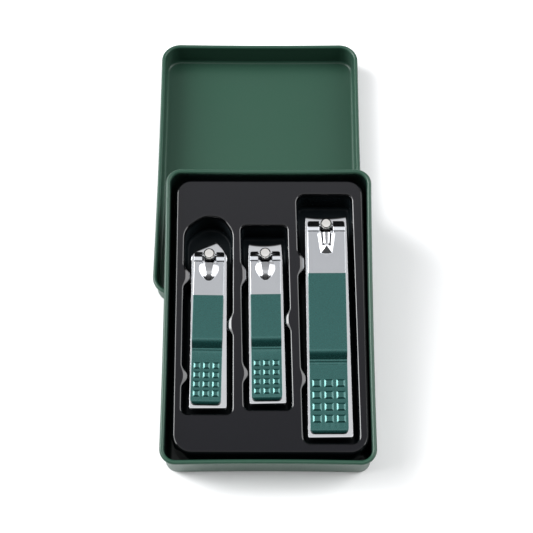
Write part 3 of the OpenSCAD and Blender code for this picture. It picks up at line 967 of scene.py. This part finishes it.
def lever(kind, c):
    w, h, end, step, win = c["lw"], c["h"], c["end"], c["step"], c["win"]
    hw = w / 2
    bx = 2.45
    big = kind == "large"
    front = -1.95 if big else -1.55
    low = 1.85
    r = 0.09
    drop = step_down(step, h, low)
    foot = drop[-1][0]
    zp = h - low
    if big:
        # a narrow land below the step, then a shallow groove and a fine raised line
        land = [(foot + 0.08, zp + 0.01), (foot + 0.60, zp - 0.075), (foot + 0.66, zp - 0.10), (foot + 0.95, zp - 0.26), (foot + 1.05, zp - 0.28),
                (foot + 1.24, zp - 0.26), (foot + 1.78, zp - 0.35), (foot + 1.9, zp - 0.40), (foot + 2.05, zp - 0.41)]
        zp -= 0.41
    else:
        land = [(foot + 0.08, zp + 0.01), (foot + 0.58, zp - 0.07), (foot + 0.66, zp - 0.11), (foot + 0.84, zp - 0.18), (foot + 0.92, zp - 0.19),
                (foot + 1.08, zp - 0.18), (foot + 1.44, zp - 0.235), (foot + 1.54, zp - 0.25)]
        zp -= 0.25
    tail = [(end - 1.5, zp), (end - 1.0, zp - 0.04), (end - 0.6, zp - 0.20), (end - 0.3, zp - 0.45), (end - 0.1, zp - 0.74), (end, zp - 1.0)]
    ears = [(front, -0.30), (front + 0.08, -0.16), (front + 0.2, -0.06), (0.62, 1.22), (0.76, 1.29), (0.90, 1.31), (1.05, 1.30), (1.2, 1.27),
            (2.25, 1.06), (2.34, 1.00), (2.44, h + 0.08), (2.50, h), (2.65, h)]
    ztop = polyline(ears + drop[:1] + drop[1:] + land + tail)
    hb = h + low
    zbot = polyline([(front, -0.55), (front + 0.25, -0.90), (front + 0.7, -1.18), (0.0, -1.3), (0.7, -1.15), (1.5, -h - 0.08), (2.0, -h), (step - 0.8, -h),
                     (step + 0.1, -h - 0.3), (step + 1.3, -h - 1.45), (step + 2.2, -hb + 0.03), (step + 3.0, -hb), (end - 0.8, -hb),
                     (end - 0.2, -hb - 0.06), (end, -hb - 0.2)])
    rows0 = c["rows"]
    ul = [q[0] for q in ears] + [-1.1, -0.7, -0.3, 0.1, 0.35, 1.4, 1.7, 2.0, win - 0.2, win]
    fine = np.arange(win + 0.1, win + CAM_L[kind] + 0.35, 0.15)
    rest = np.arange(win + 9.4, step - 0.6, 2.2)
    sp = (0.05, 0.31, 0.57, 0.65, 0.78)
    bumps = []
    for i in range(4):
        a = rows0 - i * c["row_p"]
        b = a - c["row_l"]
        bumps += [a] + [a - k for k in sp] + [b + k for k in sp] + [b]
    us = lines(ul, fine, rest, [c["paint"]], [q[0] for q in drop + land + tail], bumps)
    # lines across: the edge's rounding, the bumps' columns and the cam's fine grid
    d = np.array([0, 0.025, 0.05, 0.08, 0.11, 0.14, 0.34, 0.60])
    colx = []
    for k in (-1, 0, 1):
        a, b = k * c["col_p"] - c["col_l"] / 2, k * c["col_p"] + c["col_l"] / 2
        colx += [a] + [a + q for q in sp] + [b - q for q in sp] + [b]
    cam = np.arange(-3.60, 3.61, 0.15)
    if big:
        half = np.array([0.0, 0.25, 0.50, 0.55, 0.8, 1.05, 1.24, 1.30, 1.40, 1.50, 1.67, 1.85, 1.95, 2.2, 2.5, 2.8, 3.05, 3.2, 3.26])
        cam = np.concatenate([-half[:0:-1], half])
    xs = lines(-hw + d, hw - d, [x for x in colx if abs(x) < hw - 0.62], cam, [-bx, bx])
    X = np.zeros((len(xs), len(us)))
    U = np.zeros_like(X)
    u0 = win + 0.1
    for j, u in enumerate(us):
        x = xs.copy()
        if big and u0 < u < u0 + CAM_L[kind] + 1.6:
            # the grid narrows with the cam, so that its creases lie on grid lines
            s_ = min((u - u0) / CAM_L[kind], 1.0)
            k = (3.2 + (1.95 - 3.2) * s_) / 3.2
            k = k + (1 - k) * float(smooth((u - u0 - CAM_L[kind] - 0.1) / 1.5))
            far = (hw - 0.62) - 3.26
            x = np.where(np.abs(x) <= 3.26, x * k, np.where(np.abs(x) < hw - 0.61, np.sign(x) * (3.26 * k + (np.abs(x) - 3.26) * ((hw - 0.62) - 3.26 * k) / far), x))
        rc, rf = 1.7, 0.8
        k = hw
        if u > end - rc:
            k = hw - (rc - math.sqrt(max(rc * rc - (u - (end - rc)) ** 2, 0)))
        elif u < front + rf:
            k = hw - (rf - math.sqrt(max(rf * rf - (front + rf - u) ** 2, 0)))
        if k < hw:
            core = bx + 0.15
            g = np.sign(x)
            x = np.where(np.abs(x) > core, g * (core + (np.abs(x) - core) * (k - core) / (hw - core)), x)
        X[:, j] = x
        U[:, j] = u
    xe = X[-1:, :]
    dist = xe - np.abs(X)
    ZT = ztop(U)
    # the top's edges are rounded; so are the ears' edges beside the window
    fall = round_drop(dist, r)
    fall = np.maximum(fall, np.where(U < win + 0.05, round_drop(np.abs(np.abs(X) - bx), 0.20), 0.0))
    ZT = ZT - fall

    def trap(v, a, b):
        return np.interp(np.minimum(v - a, b - v), [0, 0.05, 0.31, 0.57, 0.65, 0.78], [0, 0.02, 0.47, 0.94, 0.99, 1.0])

    # raised blocks of the pad
    bump = np.zeros_like(X)
    for i in range(4):
        b = rows0 - i * c["row_p"]
        a = b - c["row_l"]
        for k in (-1, 0, 1):
            e0, e1 = k * c["col_p"] - c["col_l"] / 2, k * c["col_p"] + c["col_l"] / 2
            bump = np.maximum(bump, np.minimum(trap(U, a, b), trap(X, e0, e1)))
    ZT = ZT + bump * (0.38 if big else 0.345)
    ZT = ZT + cam_height(kind, X, U, c)
    ZB = zbot(U) + round_drop(dist, 0.2)
    ZB = np.minimum(ZB, ZT - 0.05)
    cx = (X[:-1, :-1] + X[1:, 1:]) / 2
    cu = (U[:-1, :-1] + U[1:, 1:]) / 2
    mask = ~((np.abs(cx) < bx) & (cu < win))
    V, F, FM = slab(X, -U, ZT, ZB, mask)
    me = mesh_of(V, F)
    # the cross-bar between the ears
    bv, bf = lathe([(0, -bx - 0.9), (0.75, -bx - 0.9), (0.75, bx + 0.9), (0, bx + 0.9)], 32)
    me = boolean(me, [mesh_of(bv, bf, Matrix.Rotation(math.radians(90), 4, "Y"))], "UNION")
    paint = c["paint"]
    back = (Matrix.Scale(MM, 4) @ lever_place(c)).inverted()

    def coat(p):
        q = back @ p.center
        # faces in the large cam's grooves take painted shade
        if big and win + 0.1 < -q.y < win + 0.1 + CAM_L[kind] and q.z > h + 0.02:
            across = abs(q.x) / (3.2 - 1.25 * (-q.y - win - 0.1) / CAM_L[kind]) * 3.2
            if 1.30 < across < 1.86 and -q.y < win + CAM_L[kind] - 2.9:
                return 3
        u = -q.y
        # the cam's faces take the darker chrome, painted shade on their reflection
        if win + 0.05 < u < win + 0.12 + CAM_L[kind] and q.z > h + 0.03 and abs(q.x) < 3.5:
            return 4
        # the ears' front slopes take a painted dark reflection
        if front + 0.15 < u < 0.60 and abs(q.x) > bx - 0.05 and q.z > -0.10:
            return 3
        if u <= paint - 0.01:
            return 0
        # the underside and the low part of the rear face take painted shade, for the dark gap under the pad's end
        under = p.normal.z < -0.5 or (-q.y > end - 0.16 and q.z < h - low - 0.9)
        return 2 if under else 1

    return finish_mesh(kind + "_lever_arm", me, lever_place(c), [M_FRONT, M_LEVER, M_UNDER_SHADE, M_GROOVE_SHADE, M_CAM_SHADE], kind + "_arm", [kind + "_lever"], 26,
                       pick=coat)


for kind, c in CLIPS.items():
    jaws(kind, c)
    post(kind, c)
    lever(kind, c)


# ------------------------------------------------------------------ floor, light, camera


def floor():
    m = Nodes("floor_paper")
    m.set(Roughness=0.9, Specular_IOR_Level=0.2, Emission_Color=(1.0, 1.0, 1.0, 1.0), Emission_Strength=0.06)
    c = m.ramp(m.noise(8, 2.0, 0.5), [(0.3, (0.92, 0.92, 0.925)), (0.7, (0.94, 0.94, 0.94))])
    m.colour(c)
    me = bpy.data.meshes.new("floor")
    s = 8.0
    me.from_pydata([(-s, -s, 0), (s, -s, 0), (s, s, 0), (-s, s, 0)], [], [(0, 1, 2, 3)])
    me.materials.append(m.mat)
    o = bpy.data.objects.new("floor", me)
    bpy.context.scene.collection.objects.link(o)


floor()


def world():
    w = bpy.data.worlds.new("studio")
    bpy.context.scene.world = w
    w.use_nodes = True
    t = w.node_tree
    bg = t.nodes["Background"]
    tc = t.nodes.new("ShaderNodeTexCoord")
    sep = t.nodes.new("ShaderNodeSeparateXYZ")
    t.links.new(tc.outputs["Generated"], sep.inputs["Vector"])
    x, y, z = sep.outputs

    def mth(op, a, b=None, clamp=False):
        n = t.nodes.new("ShaderNodeMath")
        n.operation, n.use_clamp = op, clamp
        for i, v in enumerate((a, b)):
            if v is None:
                continue
            if isinstance(v, (int, float)):
                n.inputs[i].default_value = v
            else:
                t.links.new(v, n.inputs[i])
        return n.outputs[0]

    def step(v, a, b):
        n = t.nodes.new("ShaderNodeMapRange")
        n.interpolation_type = "SMOOTHSTEP"
        t.links.new(v, n.inputs["Value"])
        n.inputs["From Min"].default_value, n.inputs["From Max"].default_value = a, b
        return n.outputs["Result"]

    def profile(v, stops, a, b):
        """Value along v from (v, value) stops between a and b."""
        m = t.nodes.new("ShaderNodeMapRange")
        t.links.new(v, m.inputs["Value"])
        m.inputs["From Min"].default_value, m.inputs["From Max"].default_value = a, b
        r = t.nodes.new("ShaderNodeValToRGB")
        e = r.color_ramp.elements
        while len(e) < len(stops):
            e.new(0.5)
        top = max(q[1] for q in stops)
        for el, (p, q) in zip(e, stops):
            el.position = (p - a) / (b - a)
            el.color = (q / top, q / top, q / top, 1.0)
        t.links.new(m.outputs["Result"], r.inputs["Fac"])
        return mth("MULTIPLY", r.outputs["Color"], top)

    # overhead box, seen in the plane above the set: u to the side, v away from the near side
    zc = mth("MAXIMUM", z, 0.05)
    u_ = mth("DIVIDE", mth("ABSOLUTE", x), zc)
    v_ = mth("DIVIDE", y, zc)
    tone = profile(v_, [(-1.25, 0.02), (-1.0, 0.04), (-0.70, 0.16), (-0.47, 0.48), (-0.30, 0.80), (-0.20, 1.55), (-0.08, 1.55), (0.03, 0.95),
                        (0.19, 0.84), (0.35, 0.82), (0.53, 0.80), (0.61, 0.70), (0.70, 0.36), (0.84, 0.09), (1.25, 0.02)], -1.25, 1.25)
    over = mth("MULTIPLY", mth("SUBTRACT", 1.0, step(u_, 0.38, 0.50)), step(z, 0.10, 0.20))
    amb = mth("ADD", mth("MULTIPLY", over, tone), 0.022)

    # side boxes: a strong one on the left, a weaker one on the right
    def strip(sx, w0, w1):
        side = step(mth("MULTIPLY", x, sx), 0.0, 0.05)
        el = mth("MULTIPLY", step(u_, 0.40, 0.52), mth("SUBTRACT", 1.0, step(u_, 3.0, 4.2)))
        w = mth("DIVIDE", y, mth("MAXIMUM", mth("ABSOLUTE", x), 0.02))
        az = mth("MULTIPLY", step(w, w0, w0 + 0.15), mth("SUBTRACT", 1.0, step(w, w1 - 0.15, w1)))
        return mth("MULTIPLY", mth("MULTIPLY", side, el), mth("MULTIPLY", az, step(z, 0.10, 0.20)))

    def core(sx):
        """Brighter middle of a side box."""
        side = step(mth("MULTIPLY", x, sx), 0.0, 0.05)
        el = mth("MULTIPLY", step(u_, 0.62, 0.80), mth("SUBTRACT", 1.0, step(u_, 2.4, 3.2)))
        w = mth("DIVIDE", y, mth("MAXIMUM", mth("ABSOLUTE", x), 0.02))
        az = mth("MULTIPLY", step(w, 0.0, 0.12), mth("SUBTRACT", 1.0, step(w, 0.50, 0.62)))
        return mth("MULTIPLY", side, mth("MULTIPLY", el, az))

    left = mth("ADD", mth("MULTIPLY", strip(-1.0, -0.50, 0.85), 4.6), mth("MULTIPLY", core(-1.0), 8.0))
    right = mth("ADD", mth("MULTIPLY", strip(1.0, -0.50, 0.80), 3.5), mth("MULTIPLY", core(1.0), 0.8))
    total = mth("ADD", amb, mth("ADD", left, right))
    comb = t.nodes.new("ShaderNodeCombineColor")
    t.links.new(mth("MULTIPLY", total, 0.995), comb.inputs[0])
    t.links.new(total, comb.inputs[1])
    t.links.new(mth("MULTIPLY", total, 1.01), comb.inputs[2])
    t.links.new(comb.outputs["Color"], bg.inputs["Color"])
    bg.inputs["Strength"].default_value = 1.0


world()


cam_data = bpy.data.cameras.new("camera")
cam = bpy.data.objects.new("camera", cam_data)
bpy.context.scene.collection.objects.link(cam)
cam_data.sensor_width = 36.0
cam_data.lens = 104.26
e_, yaw_ = math.radians(61.804), math.radians(-0.1295)
fw = Vector((math.sin(yaw_) * math.cos(e_), math.cos(yaw_) * math.cos(e_), -math.sin(e_)))
rt = Vector((math.cos(yaw_), -math.sin(yaw_), 0))
up = rt.cross(fw)
rot = Matrix((rt, up, -fw)).transposed()
cam.rotation_mode = "QUATERNION"
cam.rotation_quaternion = rot.to_quaternion()
cam.location = Vector((2.585, -278.149, 510.442)) * MM
cam_data.clip_start, cam_data.clip_end = 0.01, 20.0
bpy.context.scene.camera = cam

bpy.context.scene.view_settings.view_transform = "Standard"
bpy.context.scene.view_settings.look = "None"
